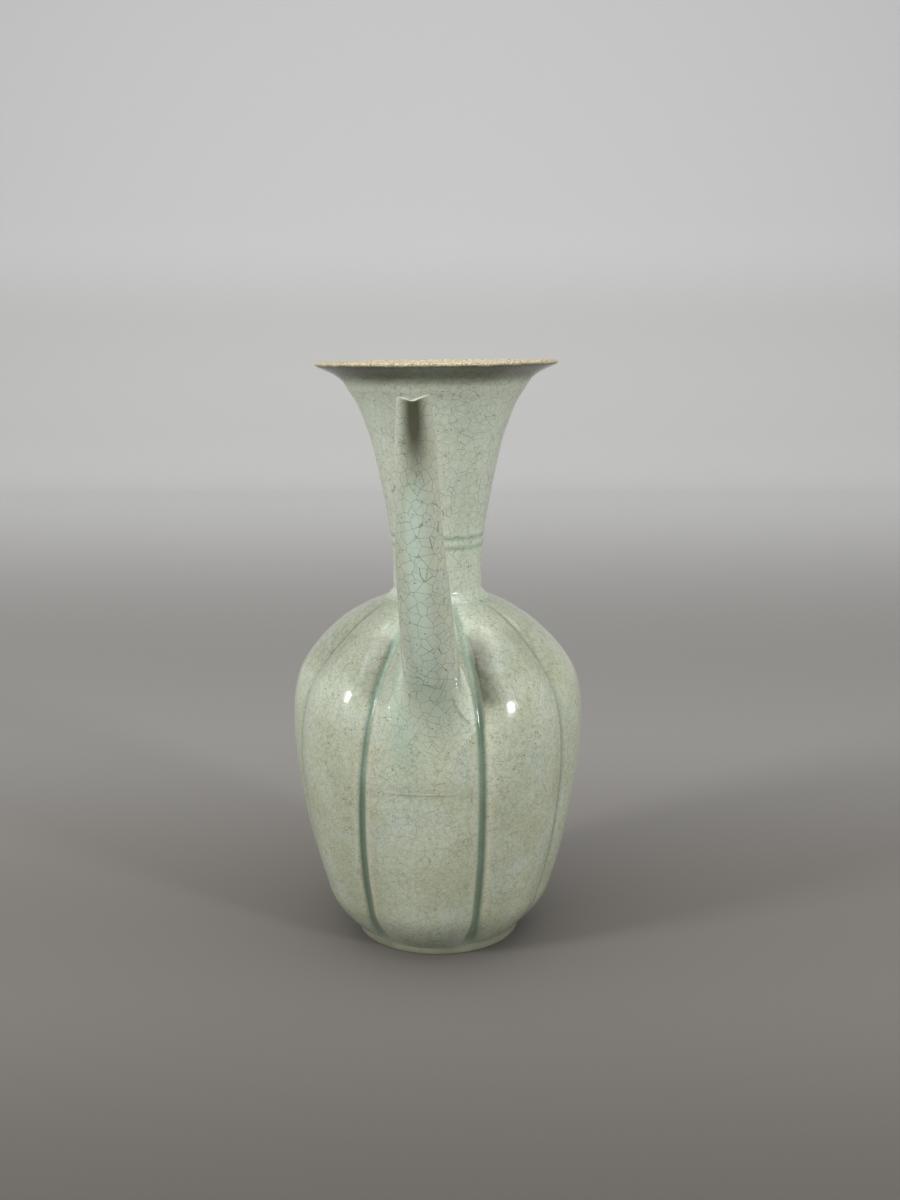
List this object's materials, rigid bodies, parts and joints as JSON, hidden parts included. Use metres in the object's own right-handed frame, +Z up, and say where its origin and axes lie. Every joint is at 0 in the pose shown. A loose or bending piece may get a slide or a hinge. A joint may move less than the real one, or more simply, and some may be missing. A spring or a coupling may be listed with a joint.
{
  "type": "porcelain ewer",
  "caption": "Lobed celadon porcelain ewer with a trumpet mouth, a long tapering spout, a ribbed strap handle and a low turned foot.",
  "frame": {"origin": "centre of the foot ring, on the surface that the ewer stands on", "axes": "+Z up through the neck, -Y towards the spout, +Y towards the handle, +X to the right seen from the spout"},
  "size_m": [0.1243, 0.17, 0.2469],
  "materials": {
    "glaze": "pale celadon glaze, glossy, finely crackled",
    "glazed_slip": "slip under the same pale celadon glaze",
    "bare_foot": "thin glaze over the turned foot, bare and gritty where it stands"
  },
  "bodies": {
    "root": {"foot_ring": "bare_foot", "lower_belly": "glaze", "belly_seam_slip": "glazed_slip", "upper_belly": "glaze", "neck_seam_slip": "glazed_slip", "neck": "glaze", "spout": "glaze", "spout_seam_slip": "glazed_slip", "handle": "glaze", "handle_top_slip": "glazed_slip", "handle_foot_slip": "glazed_slip"}
  },
  "joints": []
}
